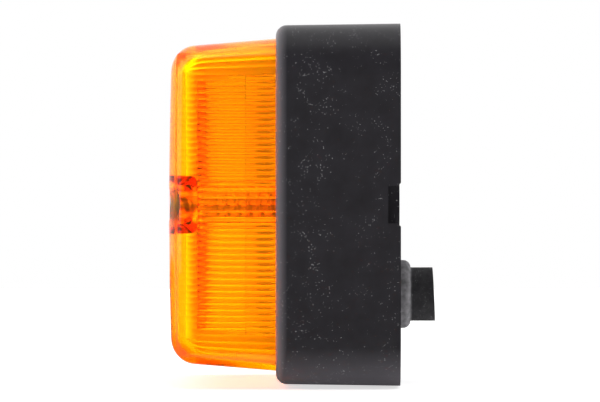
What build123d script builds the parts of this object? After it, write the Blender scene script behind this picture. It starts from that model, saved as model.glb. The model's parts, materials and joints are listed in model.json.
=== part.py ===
from build123d import *
import math
import os

# Side marker lamp for the flank of a vehicle, in millimetres.
# It is modelled lying on its back: x along its length, y up the vehicle, z out from the panel.
# stand_up() turns each finished piece upright, so that z here becomes -Y and y becomes +Z.

# Housing: an outer skirt and an inner tub, joined by a web that carries the lens seal
HOUSING_LENGTH = 104.0
HOUSING_HEIGHT = 60.0
HOUSING_DEPTH = 20.6
HOUSING_DRAFT = 0.8
HOUSING_CORNER = 8.4
RIM_RADIUS = 1.8
SKIRT_WALL = 2.0
GROOVE_WIDTH = 3.0
TUB_WALL = 2.0
TUB_DROP = 2.6
GROOVE_DEPTH = 6.2
WEB_THICKNESS = 2.0
FLOOR_RECESS = 0.8
FLOOR_THICKNESS = 2.2
RIB_THICKNESS = 1.4
LONG_SIDE_RIBS = 4
SHORT_SIDE_RIBS = 2
NOTCH_WIDTH = 6.2
NOTCH_DEPTH = 2.1
NOTCH_CHAMFER = 0.5
SMALLEST_CORNER = 0.8

# Lens: a drafted cap with a crowned front, fluted inside, held by one screw at each end
LENS_RISE = 17.7
LENS_WALL = 2.2
LENS_DRAFT = 4.8
LENS_CROWN = 0.55
LENS_EDGE_RADIUS = 4.5
LENS_INNER_RADIUS = 2.6
LENS_BAND_HEIGHT = 4.9
LENS_BAND_EXTRA = 0.8
LENS_BAND_GAP = 0.4
LENS_GAP = 0.2
FLUTE_PITCH = 1.02
FLUTE_DEPTH = 0.22
FLUTE_COUNT = 42
FLUTE_LIFT = 0.04
FLUTE_END_GAP = 0.4
FLUTE_BACKING = 1.0
GASKET_THICKNESS = 1.8
GASKET_GAP = 0.1

# Lens screws, in shallow wells at the front of the lens, each over a solid block
SCREW_INSET = 7.9
WELL_DIAMETER = 8.0
WELL_DEPTH = 2.3
WELL_BEVEL = 0.2
WELL_WALL = 0.75
WELL_FLOOR = 2.55
BLOCK_ROUND = 1.2
TOWER_DIAMETER = 6.6
SCREW_HOLE_DIAMETER = 4.6
SCREW_HEAD_DIAMETER = 7.2
SCREW_HEAD_HEIGHT = 1.6
SCREW_SHANK_DIAMETER = 3.2
SCREW_LENGTH = 27.0
SCREW_RECESS_WIDTH = 1.1
SCREW_RECESS_LENGTH = 4.2
SCREW_RECESS_DEPTH = 0.9
WASHER_DIAMETER = 7.4
WASHER_THICKNESS = 0.5
BOSS_DIAMETER = 8.4
PILOT_CLEARANCE = 0.05
PILOT_SPARE_DEPTH = 1.0

# Fixing to the vehicle
MOUNT_SPACING = 62.0
MOUNT_HOLE_DIAMETER = 5.2
MOUNT_PAD_DIAMETER = 11.0

# Cable grommet
GROMMET_EDGE = 14.6
GROMMET_HOLE_DIAMETER = 8.0
GROMMET_BORE = 5.0
GROMMET_FLANGE_DIAMETER = 11.7
GROMMET_FLANGE_REACH = 2.4
GROMMET_TUBE_DIAMETER = 9.2
GROMMET_REACH = 6.4
GROMMET_CUT_ANGLE = 2.7
GROMMET_BARB_DIAMETER = 10.4
GROMMET_BARB_LENGTH = 2.2
GROMMET_BARB_CHAMFER = 1.0
GROMMET_FIT = 0.05

# Reflector plate: one folded sheet that carries the bulb holder and an earth blade
PLATE_THICKNESS = 0.8
PLATE_STANDOFF = 3.0
PLATE_LEFT = -23.8
PLATE_RIGHT = 24.0
PLATE_HEIGHT = 38.0
PLATE_CORNER = 3.0
PLATE_BEND_RADIUS = 0.8
PLATE_SCREW_X = 19.0
PLATE_SCREW_Y = 15.0
PLATE_BOSS_DIAMETER = 6.0
PLATE_SCREW_DIAMETER = 2.6
PLATE_SCREW_LENGTH = 4.6
PLATE_SCREW_HEAD_DIAMETER = 5.2
PLATE_SCREW_HEAD_HEIGHT = 1.8
CABLE_CUTOUT_WIDTH = 13.6
CABLE_CUTOUT_TOP = -8.0
BLADE_WIDTH = 6.3
BLADE_LENGTH = 8.0
BLADE_CHAMFER = 1.2

# Bayonet bulb holder, with its axis along x
BULB_AXIS_Z = 16.6
SLEEVE_BORE = 9.4
SLEEVE_WALL = 0.6
SLEEVE_LENGTH = 11.0
HOLDER_WIDTH = 22.0
HOLDER_CORNER = 5.0
SLEEVE_FLANGE_HEIGHT = 14.0
SLEEVE_FLANGE_THICKNESS = 0.6
SLOT_WIDTH = 1.9
SLOT_DEPTH = 6.0
SLOT_TURN = 34.0
UPRIGHT_WIDTH = 23.0
UPRIGHT_TOP_Z = 24.6
UPRIGHT_WINDOW_DIAMETER = 7.4
INSULATOR_THICKNESS = 1.5
INSULATOR_LOW_Z = 8.2
INSULATOR_HIGH_Z = 23.2
LEAF_THICKNESS = 0.5
LEAF_WIDTH = 5.0
LEAF_LOW_Z = 9.2
LEAF_NOSE_DIAMETER = 3.2
LEAF_REACH = 18.0
RIVET_DIAMETER = 2.4
RIVET_HEAD_DIAMETER = 4.2
RIVET_HEAD_HEIGHT = 0.8
LEAF_RIVET_Z = 11.6
SIDE_RIVET_EDGE = 2.4
SIDE_RIVET_Z = 19.6
RIVET_FIT = 0.05

# Bulb with a bayonet cap
CAP_DIAMETER = 9.0
CAP_WALL = 0.4
CAP_LENGTH = 13.0
CAP_LIP = 0.6
PIN_DIAMETER = 1.5
PIN_REACH = 0.9
PIN_TO_CONTACT = 6.6
CONTACT_DIAMETER = 3.4
CONTACT_HEIGHT = 0.5
CAP_INSULATOR_LENGTH = 1.0
CAP_INSULATOR_DIAMETER = 7.0
TUBE_DIAMETER = 7.6
GLASS_WALL = 0.6
TUBE_SEAT = 2.0
TUBE_LENGTH = 12.0
STEM_DIAMETER = 3.0
STEM_LENGTH = 6.0
LEAD_DIAMETER = 0.5
LEAD_SPREAD = 3.2
LEAD_LENGTH = 5.0
FILAMENT_DIAMETER = 0.4

# Heights above the mounting face
FLOOR_TOP = FLOOR_RECESS + FLOOR_THICKNESS
TUB_TOP = HOUSING_DEPTH - TUB_DROP
GROOVE_FLOOR = HOUSING_DEPTH - GROOVE_DEPTH
WEB_UNDERSIDE = GROOVE_FLOOR - WEB_THICKNESS
LENS_SEAT = GROOVE_FLOOR + GASKET_THICKNESS
LENS_FRONT = HOUSING_DEPTH + LENS_RISE
INNER_FRONT = LENS_FRONT - LENS_WALL
WELL_BOTTOM = LENS_FRONT - WELL_DEPTH
PLATE_SEAT = FLOOR_TOP + PLATE_STANDOFF
PLATE_TOP = PLATE_SEAT + PLATE_THICKNESS

# Outlines, from the outside in
DRAFT_SHIFT = HOUSING_DEPTH * math.tan(math.radians(HOUSING_DRAFT))
GROOVE_LENGTH = HOUSING_LENGTH - 2 * (DRAFT_SHIFT + SKIRT_WALL)
GROOVE_HEIGHT = HOUSING_HEIGHT - 2 * (DRAFT_SHIFT + SKIRT_WALL)
GROOVE_CORNER = max(HOUSING_CORNER - DRAFT_SHIFT - SKIRT_WALL, SMALLEST_CORNER)
TUB_LENGTH = GROOVE_LENGTH - 2 * GROOVE_WIDTH
TUB_HEIGHT = GROOVE_HEIGHT - 2 * GROOVE_WIDTH
TUB_CORNER = max(GROOVE_CORNER - GROOVE_WIDTH, SMALLEST_CORNER)
CAVITY_LENGTH = TUB_LENGTH - 2 * TUB_WALL
CAVITY_HEIGHT = TUB_HEIGHT - 2 * TUB_WALL
CAVITY_CORNER = max(TUB_CORNER - TUB_WALL, SMALLEST_CORNER)
LENS_LENGTH = GROOVE_LENGTH - 2 * LENS_GAP
LENS_HEIGHT = GROOVE_HEIGHT - 2 * LENS_GAP
LENS_CORNER = max(GROOVE_CORNER - LENS_GAP, SMALLEST_CORNER)

# Places up the height
GROMMET_DROP = HOUSING_HEIGHT / 2 - GROMMET_EDGE
SIDE_RIVET_Y = HOLDER_WIDTH / 2 - SIDE_RIVET_EDGE

# Places along the length
SCREW_X = LENS_LENGTH / 2 - SCREW_INSET
HEAD_SEAT = WELL_BOTTOM + WASHER_THICKNESS
PILOT_DIAMETER = SCREW_SHANK_DIAMETER + 2 * PILOT_CLEARANCE
SLEEVE_BACK = PLATE_LEFT + PLATE_THICKNESS
SLEEVE_MOUTH = SLEEVE_BACK + SLEEVE_LENGTH
SLOT_END = SLEEVE_MOUTH - SLOT_DEPTH
PIN_X = SLOT_END + SLOT_WIDTH / 2
PIN_TURN = SLOT_TURN - math.degrees(math.asin(SLOT_WIDTH / CAP_DIAMETER))
CONTACT_X = PIN_X - PIN_TO_CONTACT
CAP_BACK = CONTACT_X + CONTACT_HEIGHT + CAP_INSULATOR_LENGTH
CAP_FRONT = CAP_BACK + CAP_LENGTH
GLOBE_X = CAP_FRONT + TUBE_LENGTH
INSULATOR_BACK = PLATE_LEFT - INSULATOR_THICKNESS
LEAF_BACK = INSULATOR_BACK - LEAF_THICKNESS

# How a round or square solid sits on its place: on its low end, or hanging from its high end
STANDING = (Align.CENTER, Align.CENTER, Align.MIN)
HANGING = (Align.CENTER, Align.CENTER, Align.MAX)


def block(length, height, corner, low, high, draft=0.0):
    """A prism with rounded corners between two heights, narrowing by draft degrees as it rises."""
    outline = Plane.XY.offset(low) * RectangleRounded(length, height, corner)
    return extrude(outline, amount=high - low, taper=draft)


def ring(length, height, corner, width, inner_corner, low, high):
    """A rectangular frame, width wide, between two heights."""
    outside = block(length, height, corner, low, high)
    return outside - block(length - 2 * width, height - 2 * width, inner_corner, low, high)


def rod(diameter, low, high, x=0.0, y=0.0):
    """A cylinder that stands on the panel's normal, between two heights."""
    return Pos(x, y, low) * Cylinder(diameter / 2, high - low, align=STANDING)


def axle(diameter, start, end, y=0.0, z=BULB_AXIS_Z):
    """A cylinder along x."""
    return Pos(start, y, z) * Rot(0, 90, 0) * Cylinder(diameter / 2, end - start, align=STANDING)


def box(x_span, y_span, z_span):
    """A box given by its spans."""
    size = [span[1] - span[0] for span in (x_span, y_span, z_span)]
    low = (Align.MIN, Align.MIN, Align.MIN)
    return Pos(x_span[0], y_span[0], z_span[0]) * Box(*size, align=low)


def spread(count, length):
    """Places for count things that share a length evenly, centred on 0."""
    step = length / count
    return [(i - (count - 1) / 2) * step for i in range(count)]


def make_housing():
    """The moulded base: skirt, seal groove, tub, floor, ribs, bosses and holes."""
    body = block(HOUSING_LENGTH, HOUSING_HEIGHT, HOUSING_CORNER, 0, HOUSING_DEPTH, HOUSING_DRAFT)
    body = fillet(body.faces().sort_by(Axis.Z)[-1].edges(), RIM_RADIUS)
    frame = (GROOVE_LENGTH, GROOVE_HEIGHT, GROOVE_CORNER, GROOVE_WIDTH, TUB_CORNER)
    body -= ring(*frame, GROOVE_FLOOR, HOUSING_DEPTH)
    body -= ring(*frame, 0, WEB_UNDERSIDE)
    body -= block(TUB_LENGTH, TUB_HEIGHT, TUB_CORNER, TUB_TOP, HOUSING_DEPTH)
    body -= block(TUB_LENGTH, TUB_HEIGHT, TUB_CORNER, 0, FLOOR_RECESS)
    body -= block(CAVITY_LENGTH, CAVITY_HEIGHT, CAVITY_CORNER, FLOOR_TOP, TUB_TOP)
    for rib in housing_ribs():
        body += rib
    for side in (-1, 1):
        body += rod(BOSS_DIAMETER, FLOOR_TOP, TUB_TOP, side * SCREW_X)
        body += rod(MOUNT_PAD_DIAMETER, 0, FLOOR_RECESS, side * MOUNT_SPACING / 2)
    for x in (-PLATE_SCREW_X, PLATE_SCREW_X):
        for y in (-PLATE_SCREW_Y, PLATE_SCREW_Y):
            body += rod(PLATE_BOSS_DIAMETER, FLOOR_TOP, PLATE_SEAT, x, y)
    for hole in housing_holes():
        body -= hole
    return body


def housing_ribs():
    """Thin walls across the channel behind the web, from the skirt to the tub."""
    half = RIB_THICKNESS / 2
    span_z = (FLOOR_RECESS, WEB_UNDERSIDE)
    ribs = []
    for side in (-1, 1):
        across_y = sorted((side * TUB_HEIGHT / 2, side * GROOVE_HEIGHT / 2))
        for x in spread(LONG_SIDE_RIBS, TUB_LENGTH):
            ribs.append(box((x - half, x + half), across_y, span_z))
        across_x = sorted((side * TUB_LENGTH / 2, side * GROOVE_LENGTH / 2))
        for y in spread(SHORT_SIDE_RIBS, TUB_HEIGHT):
            ribs.append(box(across_x, (y - half, y + half), span_z))
    return ribs


def housing_holes():
    """Screw holes, cable hole and the two notches in the back edge of the skirt."""
    holes = [rod(GROMMET_HOLE_DIAMETER, 0, FLOOR_TOP, 0, -GROMMET_DROP)]
    pilot_bottom = HEAD_SEAT - SCREW_LENGTH - PILOT_SPARE_DEPTH
    for side in (-1, 1):
        holes.append(rod(PILOT_DIAMETER, pilot_bottom, TUB_TOP, side * SCREW_X))
        holes.append(rod(MOUNT_HOLE_DIAMETER, 0, FLOOR_TOP, side * MOUNT_SPACING / 2))
        holes.append(notch(side))
    plate_pilot_bottom = PLATE_TOP - PLATE_SCREW_LENGTH
    for x, y in plate_screw_places():
        pilot = PLATE_SCREW_DIAMETER + 2 * PILOT_CLEARANCE
        holes.append(rod(pilot, plate_pilot_bottom, PLATE_SEAT, x, y))
    return holes


def notch(side):
    """A slot with a flared mouth, through one end wall of the skirt at its back edge."""
    half = NOTCH_WIDTH / 2
    outline = Polyline(
        (-half - NOTCH_CHAMFER, 0),
        (-half, NOTCH_CHAMFER),
        (-half, NOTCH_DEPTH),
        (half, NOTCH_DEPTH),
        (half, NOTCH_CHAMFER),
        (half + NOTCH_CHAMFER, 0),
        close=True,
    )
    inner, outer = TUB_LENGTH / 2 + GROOVE_WIDTH / 2, HOUSING_LENGTH / 2
    start = inner if side > 0 else -outer
    wall_plane = Plane(origin=(start, 0, 0), x_dir=(0, 1, 0), z_dir=(1, 0, 0))
    return extrude(wall_plane * make_face(outline), amount=outer - inner)


def lens_cap(inset, high):
    """The drafted walls of the lens above the housing's rim, set in by inset, cut off flat at high."""
    length, height = LENS_LENGTH - 2 * inset, LENS_HEIGHT - 2 * inset
    corner = max(LENS_CORNER - inset, SMALLEST_CORNER)
    return block(length, height, corner, HOUSING_DEPTH, high, LENS_DRAFT)


def lens_foot(inset, low):
    """The straight part of the lens, from low up to the housing's rim, set in by inset."""
    length, height = LENS_LENGTH - 2 * inset, LENS_HEIGHT - 2 * inset
    corner = max(LENS_CORNER - inset, SMALLEST_CORNER)
    return block(length, height, corner, low, HOUSING_DEPTH)


def lens_outside():
    """The outer shape of the lens: foot, drafted walls and a crowned front with a round edge."""
    crown = Pos(0, 0, LENS_FRONT - crown_radius()) * Rot(0, 90, 0) * Cylinder(crown_radius(), LENS_LENGTH)
    cap = lens_cap(0, LENS_FRONT) & crown
    cap = fillet(cap.faces().sort_by(Axis.Z)[-1].edges(), LENS_EDGE_RADIUS)
    return lens_foot(0, LENS_SEAT) + cap


def lens_inside():
    """The hollow of the lens: walls that follow the outside, and a flat front with a round edge."""
    cap = lens_cap(LENS_WALL, INNER_FRONT)
    cap = fillet(cap.faces().sort_by(Axis.Z)[-1].edges(), LENS_INNER_RADIUS)
    return lens_foot(LENS_WALL, LENS_SEAT) + cap


def crown_radius():
    """Radius of the front, from its rise over the lens's height."""
    half = LENS_HEIGHT / 2
    return (half**2 + LENS_CROWN**2) / (2 * LENS_CROWN)


def flute_comb():
    """A comb of round flutes, drawn with its teeth along y and their crests towards -x."""
    start = -FLUTE_COUNT * FLUTE_PITCH / 2
    edges = []
    for i in range(FLUTE_COUNT):
        low = start + i * FLUTE_PITCH
        crest = (-FLUTE_LIFT - FLUTE_DEPTH, low + FLUTE_PITCH / 2)
        edges.append(ThreePointArc((-FLUTE_LIFT, low), crest, (-FLUTE_LIFT, low + FLUTE_PITCH)))
    top, bottom = (-FLUTE_LIFT, -start), (-FLUTE_LIFT, start)
    edges.append(Polyline(top, (FLUTE_BACKING, -start), (FLUTE_BACKING, start), bottom))
    return make_face(edges)


def flutes():
    """The ridges inside the lens: three combs, on its two ends and its front, clear of the round edge."""
    angle = math.radians(LENS_DRAFT)
    edge_reach = LENS_WALL + LENS_INNER_RADIUS + FLUTE_END_GAP
    out, up = (math.cos(angle), 0, math.sin(angle)), (-math.sin(angle), 0, math.cos(angle))
    end_plane = Plane(origin=(LENS_LENGTH / 2 - LENS_WALL, 0, HOUSING_DEPTH), x_dir=out, z_dir=up)
    right = extrude(end_plane * flute_comb(), amount=LENS_RISE - edge_reach)
    run = LENS_LENGTH - 2 * (LENS_RISE * math.tan(angle) + edge_reach)
    front_plane = Plane(origin=(-run / 2, 0, INNER_FRONT), x_dir=(0, 0, 1), z_dir=(-1, 0, 0))
    front = extrude(front_plane * flute_comb(), amount=-run)
    return [right, mirror(right, about=Plane.YZ), front]


def lens_band():
    """The thicker base of the lens wall, from just above the tub to a little above the housing's rim."""
    low, top = TUB_TOP + LENS_BAND_GAP, HOUSING_DEPTH + LENS_BAND_HEIGHT
    outer, inner = LENS_WALL / 2, LENS_WALL + LENS_BAND_EXTRA
    solid = lens_foot(outer, low) + lens_cap(outer, top)
    return solid - (lens_foot(inner, low) + lens_cap(inner, top))


def well_block(side):
    """The solid under a screw well, round below and carried straight out to the end wall."""
    width = WELL_DIAMETER + 2 * WELL_WALL
    low = WELL_BOTTOM - WELL_FLOOR
    cup = rod(width, low, LENS_FRONT, side * SCREW_X)
    out_to_wall = sorted((side * SCREW_X, side * LENS_LENGTH / 2))
    solid = cup + box(out_to_wall, (-width / 2, width / 2), (low, LENS_FRONT))
    return fillet(solid.faces().sort_by(Axis.Z)[0].edges(), BLOCK_ROUND)


def make_lens():
    """The amber cap: fluted walls, and at each end a screw well on a hollow tower."""
    outside = lens_outside()
    inside = lens_inside()
    for comb in flutes():
        inside -= comb
    lens = outside - inside + lens_band()
    for side in (-1, 1):
        x = side * SCREW_X
        lens += well_block(side) & outside
        lens += rod(TOWER_DIAMETER, TUB_TOP, WELL_BOTTOM, x)
        well = rod(WELL_DIAMETER, WELL_BOTTOM, LENS_FRONT, x)
        lens -= chamfer(well.faces().sort_by(Axis.Z)[0].edges(), WELL_BEVEL)
        lens -= rod(SCREW_HOLE_DIAMETER, TUB_TOP, WELL_BOTTOM, x)
    return lens


def make_gasket():
    """The rubber ring in the housing's groove, under the edge of the lens."""
    length, height = GROOVE_LENGTH - 2 * GASKET_GAP, GROOVE_HEIGHT - 2 * GASKET_GAP
    corner = max(GROOVE_CORNER - GASKET_GAP, SMALLEST_CORNER)
    width = GROOVE_WIDTH - 2 * GASKET_GAP
    return ring(length, height, corner, width, TUB_CORNER + GASKET_GAP, GROOVE_FLOOR, LENS_SEAT)


def make_lens_screw(side):
    """A pan-head screw with a cross recess. Its thread is left plain."""
    x = side * SCREW_X
    head_top = HEAD_SEAT + SCREW_HEAD_HEIGHT
    head = rod(SCREW_HEAD_DIAMETER, HEAD_SEAT, head_top, x)
    head = chamfer(head.faces().sort_by(Axis.Z)[-1].edges(), SCREW_HEAD_HEIGHT / 3)
    screw = head + rod(SCREW_SHANK_DIAMETER, HEAD_SEAT - SCREW_LENGTH, HEAD_SEAT, x)
    half_width, half_length = SCREW_RECESS_WIDTH / 2, SCREW_RECESS_LENGTH / 2
    span_z = (head_top - SCREW_RECESS_DEPTH, head_top)
    screw -= box((x - half_length, x + half_length), (-half_width, half_width), span_z)
    screw -= box((x - half_width, x + half_width), (-half_length, half_length), span_z)
    return screw


def make_screw_washer(side):
    """The sealing washer under a lens screw's head."""
    x = side * SCREW_X
    washer = rod(WASHER_DIAMETER, WELL_BOTTOM, HEAD_SEAT, x)
    return washer - rod(SCREW_HOLE_DIAMETER, WELL_BOTTOM, HEAD_SEAT, x)


def make_grommet():
    """The rubber cable grommet: barb inside the floor, domed flange and short tube behind it."""
    bore, tube, flange = GROMMET_BORE / 2, GROMMET_TUBE_DIAMETER / 2, GROMMET_FLANGE_DIAMETER / 2
    neck, barb = GROMMET_HOLE_DIAMETER / 2 - GROMMET_FIT, GROMMET_BARB_DIAMETER / 2
    barb_top = FLOOR_TOP + GROMMET_BARB_LENGTH
    barb_tip, barb_side = barb - GROMMET_BARB_CHAMFER, barb_top - GROMMET_BARB_CHAMFER
    dome = flange - tube
    dome_low, dome_high = -GROMMET_FLANGE_REACH, dome - GROMMET_FLANGE_REACH
    end = -GROMMET_REACH - tube * math.tan(math.radians(GROMMET_CUT_ANGLE))
    outline = [
        Polyline((tube, dome_low), (tube, end), (bore, end), (bore, barb_top)),
        Polyline((bore, barb_top), (barb_tip, barb_top), (barb, barb_side)),
        Polyline((barb, barb_side), (barb, FLOOR_TOP), (neck, FLOOR_TOP)),
        Polyline((neck, FLOOR_TOP), (neck, FLOOR_RECESS), (flange, FLOOR_RECESS), (flange, dome_high)),
        CenterArc((tube, dome_high), dome, 270, 90),
    ]
    grommet = revolve(Plane.XZ * make_face(outline), Axis.Z)
    cut_plane = Pos(0, 0, -GROMMET_REACH) * Rot(GROMMET_CUT_ANGLE, 0, 0)
    waste = Box(2 * GROMMET_FLANGE_DIAMETER, 2 * GROMMET_FLANGE_DIAMETER, GROMMET_REACH, align=HANGING)
    return Pos(0, -GROMMET_DROP, 0) * (grommet - cut_plane * waste)


def plate_screw_places():
    """The two bosses, on a diagonal, that have a screw."""
    return [(-PLATE_SCREW_X, PLATE_SCREW_Y), (PLATE_SCREW_X, -PLATE_SCREW_Y)]


def make_reflector_plate():
    """The folded sheet: base, upright for the bulb holder and earth blade."""
    half = PLATE_HEIGHT / 2
    middle, width = (PLATE_LEFT + PLATE_RIGHT) / 2, PLATE_RIGHT - PLATE_LEFT
    base = Pos(middle, 0, 0) * block(width, PLATE_HEIGHT, PLATE_CORNER, PLATE_SEAT, PLATE_TOP)
    cutout = CABLE_CUTOUT_WIDTH / 2
    base -= box((-cutout, cutout), (-half, CABLE_CUTOUT_TOP), (PLATE_SEAT, PLATE_TOP))
    blade = Rectangle(BLADE_LENGTH, BLADE_WIDTH, align=(Align.MIN, Align.MIN))
    blade = chamfer(blade.vertices().group_by(Axis.X)[-1], BLADE_CHAMFER)
    earth_plane = Plane(origin=(PLATE_RIGHT, PLATE_CORNER - half, PLATE_SEAT))
    base += extrude(earth_plane * blade, amount=PLATE_THICKNESS)
    for x, y in plate_screw_places():
        base -= rod(PLATE_SCREW_DIAMETER + 2 * PILOT_CLEARANCE, PLATE_SEAT, PLATE_TOP, x, y)
    return base + upright()


def side_rivet_holes(back, front):
    """Clearance holes for the two rivets that hold sleeve, upright and insulator together."""
    diameter = RIVET_DIAMETER + 2 * RIVET_FIT
    return [axle(diameter, back, front, side * SIDE_RIVET_Y, SIDE_RIVET_Z) for side in (-1, 1)]


def upright():
    """The tab folded up from the plate's edge, round at the top, with a window behind the bulb."""
    half = UPRIGHT_WIDTH / 2
    tab = box((PLATE_LEFT, SLEEVE_BACK), (-half, half), (PLATE_SEAT, UPRIGHT_TOP_Z))
    tab = fillet(tab.edges().filter_by(Axis.X).group_by(Axis.Z)[-1], HOLDER_CORNER)
    bend_end, bend_top = SLEEVE_BACK + PLATE_BEND_RADIUS, PLATE_TOP + PLATE_BEND_RADIUS
    foot = box((SLEEVE_BACK, bend_end), (-half, half), (PLATE_TOP, bend_top))
    tab += foot - Pos(bend_end, 0, bend_top) * Rot(90, 0, 0) * Cylinder(PLATE_BEND_RADIUS, UPRIGHT_WIDTH)
    tab -= axle(UPRIGHT_WINDOW_DIAMETER, PLATE_LEFT, SLEEVE_BACK)
    tab -= axle(RIVET_HEAD_DIAMETER + RIVET_HEAD_HEIGHT, PLATE_LEFT, SLEEVE_BACK, 0, LEAF_RIVET_Z)
    for hole in side_rivet_holes(PLATE_LEFT, SLEEVE_BACK):
        tab -= hole
    return tab


def make_plate_screw(place):
    """A small pan-head screw through the reflector plate into a floor boss."""
    x, y = place
    head = rod(PLATE_SCREW_HEAD_DIAMETER, PLATE_TOP, PLATE_TOP + PLATE_SCREW_HEAD_HEIGHT, x, y)
    head = chamfer(head.faces().sort_by(Axis.Z)[-1].edges(), PLATE_SCREW_HEAD_HEIGHT / 3)
    return head + rod(PLATE_SCREW_DIAMETER, PLATE_TOP - PLATE_SCREW_LENGTH, PLATE_TOP, x, y)


def holder_plate(middle_z, height, back, front):
    """A plate across x with rounded corners, as wide as the holder."""
    plane = Plane(origin=(back, 0, middle_z), x_dir=(0, 1, 0), z_dir=(1, 0, 0))
    return extrude(plane * RectangleRounded(HOLDER_WIDTH, height, HOLDER_CORNER), amount=front - back)


def make_holder_sleeve():
    """The bayonet sleeve: a flanged tube with two hooked slots."""
    outer = SLEEVE_BORE + 2 * SLEEVE_WALL
    flange_front = SLEEVE_BACK + SLEEVE_FLANGE_THICKNESS
    sleeve = axle(outer, SLEEVE_BACK, SLEEVE_MOUTH)
    sleeve += holder_plate(BULB_AXIS_Z, SLEEVE_FLANGE_HEIGHT, SLEEVE_BACK, flange_front)
    sleeve -= axle(SLEEVE_BORE, SLEEVE_BACK, SLEEVE_MOUTH)
    for hole in side_rivet_holes(SLEEVE_BACK, flange_front):
        sleeve -= hole
    half = SLOT_WIDTH / 2
    for side in (-1, 1):
        reach = sorted((0, side * outer))
        sleeve -= box((SLOT_END, SLEEVE_MOUTH), reach, (BULB_AXIS_Z - half, BULB_AXIS_Z + half))
        hook = Rectangle(SLOT_WIDTH, outer, align=(Align.MIN, Align.MIN))
        hook = revolve(Pos(SLOT_END, 0) * hook, Axis.X, SLOT_TURN)
        quarter = 0 if side > 0 else 180
        sleeve -= Pos(0, 0, BULB_AXIS_Z) * Rot(quarter, 0, 0) * hook
    return sleeve


def make_insulator():
    """The fibre plate behind the upright, which keeps the live contact off it."""
    middle_z, height = (INSULATOR_HIGH_Z + INSULATOR_LOW_Z) / 2, INSULATOR_HIGH_Z - INSULATOR_LOW_Z
    plate = holder_plate(middle_z, height, INSULATOR_BACK, PLATE_LEFT)
    plate -= axle(LEAF_NOSE_DIAMETER + 2 * LEAF_THICKNESS, INSULATOR_BACK, PLATE_LEFT)
    plate -= axle(RIVET_DIAMETER + 2 * RIVET_FIT, INSULATOR_BACK, PLATE_LEFT, 0, LEAF_RIVET_Z)
    for hole in side_rivet_holes(INSULATOR_BACK, PLATE_LEFT):
        plate -= hole
    return plate


def make_contact_leaf():
    """The live contact: a springy strip with a pressed nose, and a blade out to one side."""
    half = LEAF_WIDTH / 2
    strip = box((LEAF_BACK, INSULATOR_BACK), (-half, half), (LEAF_LOW_Z, BULB_AXIS_Z))
    strip += axle(LEAF_WIDTH, LEAF_BACK, INSULATOR_BACK)
    blade = Rectangle(LEAF_REACH, BLADE_WIDTH, align=(Align.MIN, Align.MIN))
    blade = chamfer(blade.vertices().group_by(Axis.X)[-1], BLADE_CHAMFER)
    back = Plane(origin=(LEAF_BACK, 0, LEAF_LOW_Z), x_dir=(0, 1, 0), z_dir=(1, 0, 0))
    strip += extrude(back * blade, amount=LEAF_THICKNESS)
    nose = axle(LEAF_NOSE_DIAMETER, INSULATOR_BACK, CONTACT_X)
    strip += chamfer(nose.faces().sort_by(Axis.X)[-1].edges(), LEAF_NOSE_DIAMETER / 4)
    return strip - axle(RIVET_DIAMETER + 2 * RIVET_FIT, LEAF_BACK, INSULATOR_BACK, 0, LEAF_RIVET_Z)


def rivet(back, front, y, z):
    """A rivet along x, with a bevelled head at each end of its grip."""
    shank = axle(RIVET_DIAMETER, back, front, y, z)
    tail = axle(RIVET_HEAD_DIAMETER, back - RIVET_HEAD_HEIGHT, back, y, z)
    head = axle(RIVET_HEAD_DIAMETER, front, front + RIVET_HEAD_HEIGHT, y, z)
    tail = chamfer(tail.faces().sort_by(Axis.X)[0].edges(), RIVET_HEAD_HEIGHT / 2)
    head = chamfer(head.faces().sort_by(Axis.X)[-1].edges(), RIVET_HEAD_HEIGHT / 2)
    return shank + tail + head


def make_bulb_cap():
    """The bayonet cap: a thin shell, drawn in at the glass, with two pins."""
    shell = axle(CAP_DIAMETER, CAP_BACK, CAP_FRONT)
    shell = chamfer(shell.faces().sort_by(Axis.X)[-1].edges(), CAP_LIP)
    inside = axle(CAP_DIAMETER - 2 * CAP_WALL, CAP_BACK, CAP_FRONT - CAP_WALL)
    shell -= chamfer(inside.faces().sort_by(Axis.X)[-1].edges(), CAP_LIP)
    shell -= axle(TUBE_DIAMETER, CAP_BACK, CAP_FRONT)
    for turn in (PIN_TURN, PIN_TURN + 180):
        root = CAP_DIAMETER / 2 - CAP_WALL / 2
        pin = Cylinder(PIN_DIAMETER / 2, PIN_REACH + CAP_WALL / 2, align=STANDING)
        shell += Pos(PIN_X, 0, BULB_AXIS_Z) * Rot(turn, 0, 0) * Pos(0, root, 0) * Rot(-90, 0, 0) * pin
    return shell


def make_cap_insulator():
    """The black glass that closes the back of the cap."""
    disc = axle(CAP_DIAMETER - 2 * CAP_WALL, CAP_BACK, CAP_BACK + CAP_INSULATOR_LENGTH)
    cone = Cone(CONTACT_DIAMETER / 2, CAP_INSULATOR_DIAMETER / 2, CAP_INSULATOR_LENGTH, align=STANDING)
    return disc + Pos(CONTACT_X + CONTACT_HEIGHT, 0, BULB_AXIS_Z) * Rot(0, 90, 0) * cone


def make_cap_contact():
    """The solder pip on the end of the cap."""
    pip = axle(CONTACT_DIAMETER, CONTACT_X, CONTACT_X + CONTACT_HEIGHT)
    return chamfer(pip.faces().sort_by(Axis.X)[0].edges(), CONTACT_HEIGHT / 2)


def glass_form(inset):
    """The bulb's glass, set in by inset: a tube with a round end, turned about the bulb's axis."""
    radius, back = TUBE_DIAMETER / 2 - inset, CAP_FRONT - TUBE_SEAT + inset
    slope = radius * math.sqrt(0.5)
    outline = [
        Polyline((GLOBE_X + radius, 0), (back, 0), (back, radius), (GLOBE_X, radius)),
        ThreePointArc((GLOBE_X, radius), (GLOBE_X + slope, slope), (GLOBE_X + radius, 0)),
    ]
    return Pos(0, 0, BULB_AXIS_Z) * revolve(make_face(outline), Axis.X)


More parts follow.
